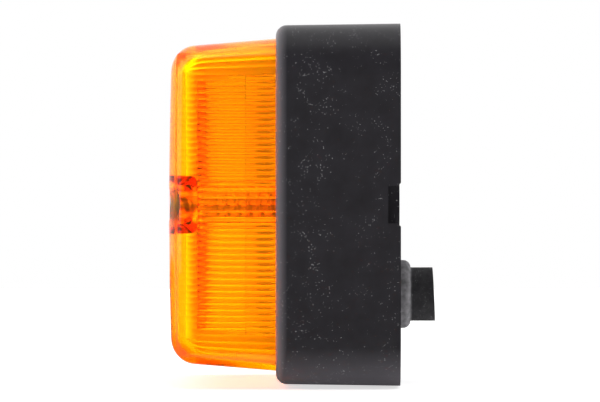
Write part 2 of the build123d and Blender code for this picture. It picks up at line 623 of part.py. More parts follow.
def make_bulb_glass():
    """The glass: a hollow tube with a round end, and the stem that holds the filament."""
    tube_back = CAP_FRONT - TUBE_SEAT
    stem = axle(STEM_DIAMETER, tube_back, tube_back + STEM_LENGTH)
    return glass_form(0) - glass_form(GLASS_WALL) + stem


def wire_along(path, diameter):
    """A round wire along a path."""
    section = Plane(origin=path @ 0, z_dir=path % 0) * Circle(diameter / 2)
    return sweep(section, path)


def make_filament():
    """The filament between its two lead wires, which stand on the stem."""
    foot = CAP_FRONT - TUBE_SEAT + STEM_LENGTH
    tip, half = foot + LEAD_LENGTH, LEAD_SPREAD / 2
    root = STEM_DIAMETER / 2 - LEAD_DIAMETER
    wires = wire_along(Line((tip, -half), (tip, half)), FILAMENT_DIAMETER)
    for side in (-1, 1):
        wires += wire_along(Line((foot, side * root), (tip, side * half)), LEAD_DIAMETER)
    return Pos(0, 0, BULB_AXIS_Z) * wires


def stand_up(shape):
    """Turns a piece from lying on its back to upright: z becomes -Y, and y becomes +Z."""
    return Rot(90, 0, 0) * shape


def make_pieces():
    """Every piece of the lamp by its name."""
    grip = (INSULATOR_BACK, SLEEVE_BACK + SLEEVE_FLANGE_THICKNESS)
    side_rivets = [rivet(*grip, side * SIDE_RIVET_Y, SIDE_RIVET_Z) for side in (-1, 1)]
    return {
        "housing": make_housing(),
        "lens": make_lens(),
        "lens_gasket": make_gasket(),
        "lens_screw_left": make_lens_screw(-1),
        "lens_screw_right": make_lens_screw(1),
        "screw_washer_left": make_screw_washer(-1),
        "screw_washer_right": make_screw_washer(1),
        "cable_grommet": make_grommet(),
        "reflector_plate": make_reflector_plate(),
        "plate_screw_upper": make_plate_screw(plate_screw_places()[0]),
        "plate_screw_lower": make_plate_screw(plate_screw_places()[1]),
        "holder_sleeve": make_holder_sleeve(),
        "holder_insulator": make_insulator(),
        "contact_leaf": make_contact_leaf(),
        "leaf_rivet": rivet(LEAF_BACK, PLATE_LEFT, 0, LEAF_RIVET_Z),
        "holder_rivet_lower": side_rivets[0],
        "holder_rivet_upper": side_rivets[1],
        "bulb_glass": make_bulb_glass(),
        "bulb_cap": make_bulb_cap(),
        "bulb_cap_insulator": make_cap_insulator(),
        "bulb_cap_contact": make_cap_contact(),
        "bulb_filament": make_filament(),
    }


os.makedirs("parts", exist_ok=True)
for name, shape in make_pieces().items():
    export_step(stand_up(shape), f"parts/{name}.step")
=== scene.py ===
"""Looks of a side marker lamp: amber fluted lens, black housing, rubber grommet and the bulb inside."""

import json
import logging
import math
from dataclasses import dataclass, field
from enum import Enum
from typing import Any, Sequence

import bmesh
import bpy
import numpy as np
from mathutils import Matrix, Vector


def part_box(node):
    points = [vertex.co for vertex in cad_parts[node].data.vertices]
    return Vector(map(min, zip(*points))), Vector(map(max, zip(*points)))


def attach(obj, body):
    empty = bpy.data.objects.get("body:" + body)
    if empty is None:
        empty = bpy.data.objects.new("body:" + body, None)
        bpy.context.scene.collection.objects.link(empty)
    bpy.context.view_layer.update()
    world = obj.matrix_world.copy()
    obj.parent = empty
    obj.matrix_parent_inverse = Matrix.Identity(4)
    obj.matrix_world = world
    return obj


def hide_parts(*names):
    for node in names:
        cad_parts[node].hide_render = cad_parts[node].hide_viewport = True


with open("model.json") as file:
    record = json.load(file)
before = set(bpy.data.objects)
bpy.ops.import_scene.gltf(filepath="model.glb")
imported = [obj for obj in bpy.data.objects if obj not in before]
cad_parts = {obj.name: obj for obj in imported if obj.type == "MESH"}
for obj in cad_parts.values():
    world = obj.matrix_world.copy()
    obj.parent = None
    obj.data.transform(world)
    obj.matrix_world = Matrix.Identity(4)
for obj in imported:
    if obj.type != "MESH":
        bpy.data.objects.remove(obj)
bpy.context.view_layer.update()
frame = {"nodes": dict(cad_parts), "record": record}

LOG = logging.getLogger("side_marker_lamp")
MM = 0.001
PHOTO_WIDTH, PHOTO_HEIGHT = 600, 402
# Sockets of a Mix node that blends colours, whose names are shared with its other kinds
MIX_SHARE, MIX_FIRST, MIX_SECOND, MIX_RESULT = 0, 6, 7, 2


class Side(Enum):
    """The two ends of the lamp, by the sign of their x."""

    LEFT = -1
    RIGHT = 1


def linear(hex_colour: str) -> tuple[float, float, float, float]:
    """Turns an sRGB hex colour into linear RGBA.

    Args:
        hex_colour: six hex digits, such as "ff8000".
    Returns:
        The colour in linear light with alpha 1.
    """
    srgb = np.array([int(hex_colour[i : i + 2], 16) for i in (0, 2, 4)]) / 255
    rgb = np.where(srgb <= 0.04045, srgb / 12.92, ((srgb + 0.055) / 1.055) ** 2.4)
    return (*map(float, rgb), 1.0)


def add_node(
    tree: bpy.types.NodeTree,
    kind: str,
    settings: dict[str | int, Any] | None = None,
    links: dict[str | int, Any] | None = None,
) -> Any:
    """Adds a shader node, with its settings and what is plugged into it.

    Args:
        tree: the material's or world's node tree.
        kind: Blender's name of the node type.
        settings: attributes of the node, or values of its sockets where the name is no attribute.
        links: output sockets to plug in, by the name or number of the input.
    Returns:
        The new node.
    """
    node = tree.nodes.new(kind)
    for name, value in (settings or {}).items():
        if isinstance(name, str) and hasattr(node, name):
            setattr(node, name, value)
        else:
            node.inputs[name].default_value = value
    for name, source in (links or {}).items():
        tree.links.new(source, node.inputs[name])
    return node


def new_material(name: str) -> tuple[bpy.types.Material, bpy.types.NodeTree, Any, Any]:
    """Starts a material with a bare Principled shader.

    Args:
        name: the real material's name.
    Returns:
        The material, its tree, its Principled node and its output node.
    """
    material = bpy.data.materials.new(name)
    material.use_nodes = True
    tree = material.node_tree
    tree.nodes.clear()
    shader = add_node(tree, "ShaderNodeBsdfPrincipled")
    output = add_node(tree, "ShaderNodeOutputMaterial", links={"Surface": shader.outputs[0]})
    return material, tree, shader, output


def in_mm(tree: bpy.types.NodeTree, size: float) -> Any:
    """Object coordinates, scaled so that one unit of a pattern is size millimetres.

    Args:
        tree: the material's node tree.
        size: the pattern's unit, in millimetres.
    Returns:
        The output socket with the scaled coordinates.
    """
    where = add_node(tree, "ShaderNodeTexCoord")
    scale = (1 / (size * MM),) * 3
    sized = add_node(tree, "ShaderNodeMapping", {"Scale": scale}, {"Vector": where.outputs["Object"]})
    return sized.outputs[0]


def put_mesh(
    name: str, points: np.ndarray, faces: Sequence[Sequence[int]], smooth: bool = True
) -> bpy.types.Object:
    """Makes an object at the origin from points in millimetres and faces.

    Args:
        name: the piece's name.
        points: array of shape (n, 3), in millimetres, in the row frame.
        faces: the point numbers of each face.
        smooth: whether faces are shaded smooth.
    Returns:
        The object, linked into the scene.
    """
    mesh = bpy.data.meshes.new(name)
    mesh.from_pydata((points * MM).tolist(), [], faces)
    mesh.polygons.foreach_set("use_smooth", np.full(len(mesh.polygons), smooth))
    mesh.validate()
    mesh.update()
    piece = bpy.data.objects.new(name, mesh)
    bpy.context.scene.collection.objects.link(piece)
    return piece


def grid_faces(rows: int, columns: int, wrap: bool) -> np.ndarray:
    """Faces of a grid of points that are numbered row by row.

    Args:
        rows: the number of rows.
        columns: the number of points in a row.
        wrap: whether the last column is joined to the first.
    Returns:
        The four point numbers of each face.
    """
    across = np.arange(columns if wrap else columns - 1)
    row, column = np.meshgrid(np.arange(rows - 1), across, indexing="ij")
    right = (column + 1) % columns
    low, high = row * columns, (row + 1) * columns
    return np.stack([low + column, low + right, high + right, high + column], axis=-1).reshape(-1, 4)


def upright(x: np.ndarray, height: np.ndarray, depth: np.ndarray) -> np.ndarray:
    """Stacks x, height above the middle and depth out from the panel, which is along -Y, into points."""
    x, height, depth = np.broadcast_arrays(x, height, depth)
    return np.stack([x, -depth, height], axis=-1).reshape(-1, 3).astype(float)


def turned(name: str, profile: Sequence[tuple[float, float]], x: float, steps: int = 72) -> bpy.types.Object:
    """A closed solid turned about the panel's normal at x: each profile point is carried round a circle.

    Args:
        name: the solid's name.
        profile: (radius, depth) from the low end to the high end, in millimetres.
        x: place of the axis along the lamp.
        steps: points round the circle.
    Returns:
        The solid, with a flat cap at each end.
    """
    turn = np.linspace(0, 2 * np.pi, steps, endpoint=False)
    radius, depth = np.hsplit(np.array(profile), 2)
    points = upright(x + radius * np.cos(turn), radius * np.sin(turn), depth)
    caps = [list(range(steps))[::-1], list(range(len(points) - steps, len(points)))]
    return put_mesh(name, points, [*grid_faces(len(profile), steps, True).tolist(), *caps])


def turn_outwards(piece: bpy.types.Object, reach: float = 1e-7) -> None:
    """Merges points that coincide and turns every face of a closed solid outwards.

    Args:
        piece: the solid.
        reach: how close points coincide, in metres.
    """
    work = bmesh.new()
    work.from_mesh(piece.data)
    bmesh.ops.remove_doubles(work, verts=work.verts, dist=reach)
    bmesh.ops.dissolve_degenerate(work, edges=work.edges, dist=reach)
    bmesh.ops.recalc_face_normals(work, faces=work.faces)
    work.to_mesh(piece.data)
    work.free()


def carve(solid: bpy.types.Object, tool: bpy.types.Object) -> None:
    """Takes the tool away from the solid and deletes the tool.

    Args:
        solid: the closed solid that is cut.
        tool: the closed solid that is taken away.
    """
    turn_outwards(tool)
    cut = solid.modifiers.new("cut", "BOOLEAN")
    cut.operation, cut.solver, cut.object = "DIFFERENCE", "MANIFOLD", tool
    shape = bpy.data.meshes.new_from_object(solid.evaluated_get(bpy.context.evaluated_depsgraph_get()))
    solid.modifiers.clear()
    solid.data = shape
    bpy.data.objects.remove(tool)


@dataclass(frozen=True)
class DustSpecks:
    """Round specks of dust, one to a cell at most, each with a size of its own.

    Dust is near 0.1 mm in life. These specks are up to about half a millimetre, so that they show.
    """

    cell_mm: float
    bare: float
    spread: float = 0.48
    gather: float = 0.5

    def mask(self, tree: bpy.types.NodeTree, drift: Any) -> Any:
        """A speck's radius is its cell's random number times spread, plus drift times gather, less bare.

        Args:
            tree: the material's node tree.
            drift: an output socket from 0 to 1 that says where dust gathers.
        Returns:
            The output socket that is 1 on a speck and 0 between specks.
        """
        place = in_mm(tree, self.cell_mm)
        cells = add_node(tree, "ShaderNodeTexVoronoi", {"Randomness": 1.0}, {"Vector": place})
        level = add_node(
            tree, "ShaderNodeMath", {"operation": "MULTIPLY_ADD", 1: self.gather, 2: -self.bare}, {0: drift}
        )
        radius = add_node(
            tree,
            "ShaderNodeMath",
            {"operation": "MULTIPLY_ADD", 1: self.spread},
            {0: cells.outputs["Color"], 2: level.outputs[0]},
        )
        speck = add_node(
            tree,
            "ShaderNodeMath",
            {"operation": "LESS_THAN"},
            {0: cells.outputs["Distance"], 1: radius.outputs[0]},
        )
        return speck.outputs[0]


@dataclass(frozen=True)
class MouldGrain:
    """The grain that a mould leaves, finer in life and drawn as coarse as it needs to show."""

    size_mm: float
    depth_mm: float
    strength: float
    detail: float

    def roughen(self, tree: bpy.types.NodeTree, shader: Any) -> None:
        """Bumps a surface with the grain.

        Args:
            tree: the material's node tree.
            shader: its Principled node.
        """
        grain = add_node(
            tree, "ShaderNodeTexNoise", {"Detail": self.detail}, {"Vector": in_mm(tree, self.size_mm)}
        )
        bump = add_node(
            tree,
            "ShaderNodeBump",
            {"Strength": self.strength, "Distance": self.depth_mm * MM},
            {"Height": grain.outputs[0]},
        )
        tree.links.new(bump.outputs[0], shader.inputs["Normal"])


@dataclass(frozen=True)
class AmberAcrylic:
    """Clear acrylic dyed amber through its depth, moulded and polished.

    A colour's loss per metre is density times what passed lacks of 1. The share clear goes through, and the
    rest scatters in the body colour. The lens's attribute frost adds up to etched to the roughness.
    """

    density: float = 1300.0
    passed: tuple[float, float, float] = (0.994, 0.872, 0.0)
    body: str = "ffe600"
    clear: float = 0.97
    etched: float = 0.7
    ior: float = 1.49
    roughness: float = 0.035

    def make(self) -> bpy.types.Material:
        """The eye gets yellow where it is thin, orange through two walls and red through a thick block.

        Returns:
            The material.
        """
        material, tree, shader, output = new_material("amber_acrylic")
        shader.inputs["Base Color"].default_value = linear(self.body)
        shader.inputs["IOR"].default_value = self.ior
        shader.inputs["Transmission Weight"].default_value = self.clear
        frost = add_node(tree, "ShaderNodeAttribute", {"attribute_name": "frost"})
        rough = add_node(
            tree,
            "ShaderNodeMath",
            {"operation": "MULTIPLY_ADD", 1: self.etched, 2: self.roughness},
            {0: frost.outputs["Fac"]},
        )
        tree.links.new(rough.outputs[0], shader.inputs["Roughness"])
        dye = add_node(
            tree, "ShaderNodeVolumeAbsorption", {"Color": (*self.passed, 1), "Density": self.density}
        )
        tree.links.new(dye.outputs[0], output.inputs["Volume"])
        return material


@dataclass(frozen=True)
class SatinBlackPlastic:
    """Glass-filled black nylon from a lightly eroded mould, handled and dusty.

    Its front rim is painted pale from rim_low_mm to rim_high_mm out from the panel, a painted highlight on
    its round edge, and its lower skirt is painted paler from skirt_mm to skirt_low_mm below the middle, a
    painted reflection on its round bottom edge.
    """

    colour: str = "29272a"
    worn: str = "3a383e"
    # Grey of the painted highlight on the rim and of the painted reflection on the lower skirt
    rim: str = "78747a"
    dust: str = "ffffff"
    cloud_mm: float = 14.0
    specks: DustSpecks = DustSpecks(cell_mm=1.2, bare=0.53)
    # Where the front rim carries a painted highlight
    rim_low_mm: float = 18.7
    rim_high_mm: float = 20.4
    # Where the lower skirt carries a painted reflection, and how strong it is
    skirt_mm: float = 23.6
    skirt_low_mm: float = 30.0
    skirt_reflection_share: float = 0.52
    grain: MouldGrain = MouldGrain(size_mm=0.35, depth_mm=0.03, strength=0.25, detail=2.0)
    roughness: float = 0.38
    gloss: float = 0.3

    def make(self) -> bpy.types.Material:
        """The eye gets a soft satin sheen, faint paler clouds, a painted rim highlight and skirt reflection,
        and drifts of white specks.

        Returns:
            The material.
        """
        material, tree, shader, _ = new_material("satin_black_nylon")
        clouds = add_node(
            tree, "ShaderNodeTexNoise", {"Detail": 4.0}, {"Vector": in_mm(tree, self.cloud_mm)}
        )
        tone = add_node(
            tree,
            "ShaderNodeMix",
            {"data_type": "RGBA", MIX_FIRST: linear(self.colour), MIX_SECOND: linear(self.worn)},
            {MIX_SHARE: clouds.outputs[0]},
        )
        place = add_node(tree, "ShaderNodeSeparateXYZ", links={0: in_mm(tree, 1.0)})
        # painted highlight: the band of the front rim is painted pale grey
        edge = {"From Min": -self.rim_low_mm, "From Max": -self.rim_high_mm}
        painted_rim_highlight = add_node(tree, "ShaderNodeMapRange", edge, {"Value": place.outputs["Y"]})
        # painted reflection: the lower skirt is painted paler towards its round bottom edge
        edge = {"From Min": -self.skirt_mm, "From Max": -self.skirt_low_mm, "To Max": self.skirt_reflection_share}
        painted_skirt_reflection = add_node(tree, "ShaderNodeMapRange", edge, {"Value": place.outputs["Z"]})
        # the paler of the rim's painted highlight and the skirt's painted reflection
        pale = add_node(
            tree, "ShaderNodeMath", {"operation": "MAXIMUM"}, {0: painted_rim_highlight.outputs[0], 1: painted_skirt_reflection.outputs[0]}
        )
        dusty = self.specks.mask(tree, clouds.outputs[0])
        # the painted highlight and reflection go over the tone first, then the real dust specks
        for share, colour in ((pale.outputs[0], self.rim), (dusty, self.dust)):
            tone = add_node(
                tree,
                "ShaderNodeMix",
                {"data_type": "RGBA", MIX_SECOND: linear(colour)},
                {MIX_SHARE: share, MIX_FIRST: tone.outputs[MIX_RESULT]},
            )
        tree.links.new(tone.outputs[MIX_RESULT], shader.inputs["Base Color"])
        self.grain.roughen(tree, shader)
        shader.inputs["Roughness"].default_value = self.roughness
        shader.inputs["Specular IOR Level"].default_value = self.gloss
        return material


@dataclass(frozen=True)
class DustyRubber:
    """Moulded black rubber with dust on its weathered skin.

    The bloom of dust has the strength dust_share up to dust_end_mm behind the panel, and past it the share
    dust_beyond of that.
    """

    name: str
    colour: str
    dust: str
    dust_share: float
    dust_end_mm: float = 1000.0
    dust_fade_mm: float = 0.2
    dust_beyond: float = 0.125
    patch_mm: float = 5.0
    specks: DustSpecks = DustSpecks(cell_mm=0.9, bare=0.48)
    grain: MouldGrain = MouldGrain(size_mm=0.5, depth_mm=0.05, strength=0.4, detail=3.0)
    roughness: float = 0.75
    gloss: float = 0.25

    def make(self) -> bpy.types.Material:
        """The eye gets a dull dark grey with pale bloom that comes and goes.

        Returns:
            The material.
        """
        material, tree, shader, _ = new_material(self.name)
        patches = add_node(
            tree, "ShaderNodeTexNoise", {"Detail": 5.0}, {"Vector": in_mm(tree, self.patch_mm)}
        )
        place = add_node(tree, "ShaderNodeSeparateXYZ", links={0: in_mm(tree, 1.0)})
        edge = {
            "From Min": self.dust_end_mm - self.dust_fade_mm,
            "From Max": self.dust_end_mm + self.dust_fade_mm,
            "To Min": self.dust_share,
            "To Max": self.dust_share * self.dust_beyond,
        }
        most = add_node(tree, "ShaderNodeMapRange", edge, {"Value": place.outputs["Y"]})
        bloom = add_node(
            tree, "ShaderNodeMath", {"operation": "MULTIPLY"}, {0: patches.outputs[0], 1: most.outputs[0]}
        )
        tone = add_node(
            tree,
            "ShaderNodeMix",
            {"data_type": "RGBA", MIX_FIRST: linear(self.colour), MIX_SECOND: linear(self.dust)},
            {MIX_SHARE: bloom.outputs[0]},
        )
        dusty = self.specks.mask(tree, patches.outputs[0])
        coat = add_node(
            tree,
            "ShaderNodeMix",
            {"data_type": "RGBA", MIX_SECOND: linear(self.dust)},
            {MIX_SHARE: dusty, MIX_FIRST: tone.outputs[MIX_RESULT]},
        )
        tree.links.new(coat.outputs[MIX_RESULT], shader.inputs["Base Color"])
        self.grain.roughen(tree, shader)
        shader.inputs["Roughness"].default_value = self.roughness
        shader.inputs["Specular IOR Level"].default_value = self.gloss
        return material


@dataclass(frozen=True)
class DulledFinish:
    """A hard surface that is a little dulled: a drawn, pressed or plated metal, unless metallic is 0."""

    name: str
    colour: str
    dull: str
    roughness: float
    patch_mm: float
    metallic: float = 1.0
    shine_drift: float = 0.18

    def make(self) -> bpy.types.Material:
        """The eye gets a plain hard surface whose colour and shine drift a little from place to place.

        Returns:
            The material.
        """
        material, tree, shader, _ = new_material(self.name)
        patches = add_node(
            tree, "ShaderNodeTexNoise", {"Detail": 4.0}, {"Vector": in_mm(tree, self.patch_mm)}
        )
        tone = add_node(
            tree,
            "ShaderNodeMix",
            {"data_type": "RGBA", MIX_FIRST: linear(self.colour), MIX_SECOND: linear(self.dull)},
            {MIX_SHARE: patches.outputs[0]},
        )
        least = self.roughness - self.shine_drift / 2
        rough = add_node(
            tree,
            "ShaderNodeMath",
            {"operation": "MULTIPLY_ADD", 1: self.shine_drift, 2: least},
            {0: patches.outputs[0]},
        )
        tree.links.new(tone.outputs[MIX_RESULT], shader.inputs["Base Color"])
        tree.links.new(rough.outputs[0], shader.inputs["Roughness"])
        shader.inputs["Metallic"].default_value = self.metallic
        return material


@dataclass(frozen=True)
class ClearGlass:
    """Blown clear lamp glass."""

    colour: str = "f6f8f6"
    ior: float = 1.5

    def make(self) -> bpy.types.Material:
        """The eye gets bright edges and sharp reflections, with the wires plain to see.

        Returns:
            The material.
        """
        material, _, shader, _ = new_material("blown_lamp_glass")
        shader.inputs["Base Color"].default_value = linear(self.colour)
        shader.inputs["Roughness"].default_value = 0.0
        shader.inputs["IOR"].default_value = self.ior
        shader.inputs["Transmission Weight"].default_value = 1.0
        return material


def finishes() -> dict[str, bpy.types.Material]:
    """Makes the finish of each of the record's slots.

    Returns:
        The materials by slot.
    """
    looks = {
        "black_plastic": SatinBlackPlastic(),
        "amber_lens": AmberAcrylic(),
        # Near black and matt, with little dust
        "seal_rubber": DustyRubber("seal_rubber", "1b1b1b", "2e2d2c", dust_share=0.5),
        # A flange grey with dust, and a darker tube behind it
        "grommet_rubber": DustyRubber("grommet_rubber", "242326", "b4b2b6", dust_share=1.0, dust_end_mm=2.5),
        # Pale grey with a soft shine
        "zinc_steel": DulledFinish("zinc_plated_steel", "e6e6e2", "cfcfca", roughness=0.36, patch_mm=3.0),
        # Bright sheet that mirrors its surroundings a little blurred
        "tinplate": DulledFinish("bright_tinplate", "d9d9d6", "c3c3bf", roughness=0.24, patch_mm=9.0),
        # Warm yellow metal, browner in patches
        "brass": DulledFinish("pressed_brass", "c9a45a", "a98342", roughness=0.3, patch_mm=4.0),
        # Matt red-brown board
        "fibre": DulledFinish(
            "vulcanised_fibre", "7a4026", "5f3020", roughness=0.7, patch_mm=2.0, metallic=0.0
        ),
        "bulb_glass": ClearGlass(),
        # Bright plate with a warm tinge
        "nickel": DulledFinish("nickel_plate", "cfcabf", "b5b0a5", roughness=0.22, patch_mm=5.0),
        # Smooth shiny black
        "black_glass": DulledFinish(
            "black_vitreous_glass", "141315", "1d1c1e", roughness=0.2, patch_mm=3.0, metallic=0.0
        ),
        # Dull grey bead
        "solder": DulledFinish("dull_solder", "a5a6a6", "868787", roughness=0.45, patch_mm=1.5),
        # Thin dark grey wire
        "tungsten": DulledFinish("tungsten_wire", "6e6d6b", "555452", roughness=0.4, patch_mm=1.0),
    }
    return {slot: look.make() for slot, look in looks.items()}


@dataclass
class PhotoStudio:
    """White light tent, pale floor and the camera square on the lamp's right end.

    The camera's distance and clips and the floor's half width are in metres, other lengths in millimetres.
    A brightness of 1 is white. Edges of the tent's light are given as one part of the unit direction.
    """

    # Camera
    distance: float = 1.1
    pixels_per_mm: float = 6.083
    back_plane_pixel: float = 401.0
    middle_pixel: float = 204.7
    near_end: float = 52.0
    sensor_width: float = 36.0
    clip_near: float = 0.01
    clip_far: float = 20.0
    # Floor
    floor_level: float = -30.4
    floor_half: float = 1.2
    paper: str = "f0f0f0"
    paper_mirrored: str = "202020"
    paper_roughness: float = 0.9
    floor_glow: float = 0.6
    floor_shine: float = 2.3
    shine_near: float = 45.0
    shine_far: float = 60.0
    # Light that surfaces mirror or scatter
    tent: float = 1.1
    room: float = 0.06
    dark_edge: float = 0.39
    dark_soft: float = 0.03
    # Light that the camera sees or the lens passes
    sides: float = 4.2
    behind: float = 1.0
    behind_start: float = 0.7
    behind_full: float = 0.97
    front: float = 14.0
    front_start: float = 0.2
    front_full: float = 0.8
    # Ways that light takes inside the lens
    bounces: int = 48
    mirror_bounces: int = 40

    def camera(self) -> bpy.types.Object:
        """Puts the camera so that the near end of the housing has the photograph's scale and place.

        Returns:
            The camera.
        """
        y = (PHOTO_WIDTH / 2 - self.back_plane_pixel) / self.pixels_per_mm * MM
        z = (self.middle_pixel - PHOTO_HEIGHT / 2) / self.pixels_per_mm * MM
        data = bpy.data.cameras.new("camera")
        data.sensor_width = self.sensor_width
        frame_width = PHOTO_WIDTH / self.pixels_per_mm * MM
        data.lens = data.sensor_width * self.distance / frame_width
        data.clip_start, data.clip_end = self.clip_near, self.clip_far
        eye = bpy.data.objects.new("camera", data)
        eye.location = (self.near_end * MM + self.distance, y, z)
        eye.rotation_euler = (math.radians(90), 0, math.radians(90))
        bpy.context.scene.collection.objects.link(eye)
        bpy.context.scene.camera = eye
        return eye

    def floor(self) -> bpy.types.Object:
        """A pale flat sheet under the lamp, lit from below like a light table.

        It is dark where a surface mirrors it, as the room behind the camera is. Rays that come through the
        lens meet it brighter under the lamp, up to shine_near along x, and that fades out at shine_far.

        Returns:
            The sheet.
        """
        half, z = self.floor_half / MM, self.floor_level
        corners = np.array([(-half, -half, z), (half, -half, z), (half, half, z), (-half, half, z)])
        sheet = put_mesh("floor", corners, [[0, 1, 2, 3]], smooth=False)
        material, tree, shader, _ = new_material("white_paper")
        ray = add_node(tree, "ShaderNodeLightPath").outputs
        passed = ray["Is Transmission Ray"]
        # A ray that comes through the lens counts as glossy too
        mirrored = add_node(
            tree,
            "ShaderNodeMath",
            {"operation": "SUBTRACT", "use_clamp": True},
            {0: ray["Is Glossy Ray"], 1: passed},
        )
        tone = add_node(
            tree,
            "ShaderNodeMix",
            {"data_type": "RGBA", MIX_FIRST: linear(self.paper), MIX_SECOND: linear(self.paper_mirrored)},
            {MIX_SHARE: mirrored.outputs[0]},
        )
        plain_glow = add_node(
            tree,
            "ShaderNodeMath",
            {"operation": "MULTIPLY_ADD", 1: -self.floor_glow, 2: self.floor_glow},
            {0: mirrored.outputs[0]},
        )
        place = add_node(tree, "ShaderNodeSeparateXYZ", links={0: in_mm(tree, 1.0)})
        away = add_node(tree, "ShaderNodeMath", {"operation": "ABSOLUTE"}, {0: place.outputs["X"]})
        edge = {
            "From Min": self.shine_near,
            "From Max": self.shine_far,
            "To Min": self.floor_shine,
            "To Max": 0.0,
        }
        under = add_node(tree, "ShaderNodeMapRange", edge, {"Value": away.outputs[0]})
        glow = add_node(
            tree,
            "ShaderNodeMath",
            {"operation": "MULTIPLY_ADD"},
            {0: passed, 1: under.outputs[0], 2: plain_glow.outputs[0]},
        )
        tree.links.new(tone.outputs[MIX_RESULT], shader.inputs["Base Color"])
        tree.links.new(glow.outputs[0], shader.inputs["Emission Strength"])
        shader.inputs["Roughness"].default_value = self.paper_roughness
        shader.inputs["Emission Color"].default_value = (1, 1, 1, 1)
        sheet.data.materials.append(material)
        return sheet

    def world(self) -> None:
        """Lights the lamp from a plain white tent, with the dark of the room behind the camera.

        What a surface mirrors or scatters falls from the tent's brightness to the room's where x passes
        dark_edge. What the camera sees, or the lens passes, has the brightness behind along the x axis and
        sides across it, and rises to front towards -Y, where the lens faces.
        """
        world = bpy.data.worlds.new("light_tent")
        world.use_nodes = True
        tree = world.node_tree
        where = add_node(tree, "ShaderNodeTexCoord")
        way = add_node(tree, "ShaderNodeSeparateXYZ", links={0: where.outputs["Generated"]}).outputs
        edge = {
            "From Min": self.dark_edge - self.dark_soft,
            "From Max": self.dark_edge + self.dark_soft,
            "To Min": self.tent,
            "To Max": self.room,
        }
        mirrored = add_node(tree, "ShaderNodeMapRange", edge, {"Value": way["X"]})
        edge = {
            "From Min": -self.front_full,
            "From Max": -self.front_start,
            "To Min": self.front,
            "To Max": self.sides,
        }
        across = add_node(tree, "ShaderNodeMapRange", edge, {"Value": way["Y"]})
        along = add_node(tree, "ShaderNodeMath", {"operation": "ABSOLUTE"}, {0: way["X"]})
        edge = {"From Min": self.behind_start, "From Max": self.behind_full, "To Max": self.behind}
        through = add_node(
            tree, "ShaderNodeMapRange", edge, {"Value": along.outputs[0], "To Min": across.outputs[0]}
        )
        ray = add_node(tree, "ShaderNodeLightPath").outputs
        straight = add_node(
            tree,
            "ShaderNodeMath",
            {"operation": "MAXIMUM"},
            {0: ray["Is Camera Ray"], 1: ray["Is Transmission Ray"]},
        )
        strength = add_node(
            tree,
            "ShaderNodeMix",
            links={"Factor": straight.outputs[0], "A": mirrored.outputs[0], "B": through.outputs[0]},
        )
        background = tree.nodes["Background"]
        background.inputs["Color"].default_value = (1, 1, 1, 1)
        tree.links.new(strength.outputs[0], background.inputs["Strength"])
        bpy.context.scene.world = world

    def set_up(self) -> None:
        """Builds the whole studio, with enough bounces for the ways that light takes inside the lens."""
        self.floor()
        self.camera()
        self.world()
        bpy.context.scene.view_settings.view_transform = "Standard"
        paths = bpy.context.scene.cycles
        paths.max_bounces = self.bounces
        paths.transmission_bounces = self.bounces
        paths.glossy_bounces = self.mirror_bounces


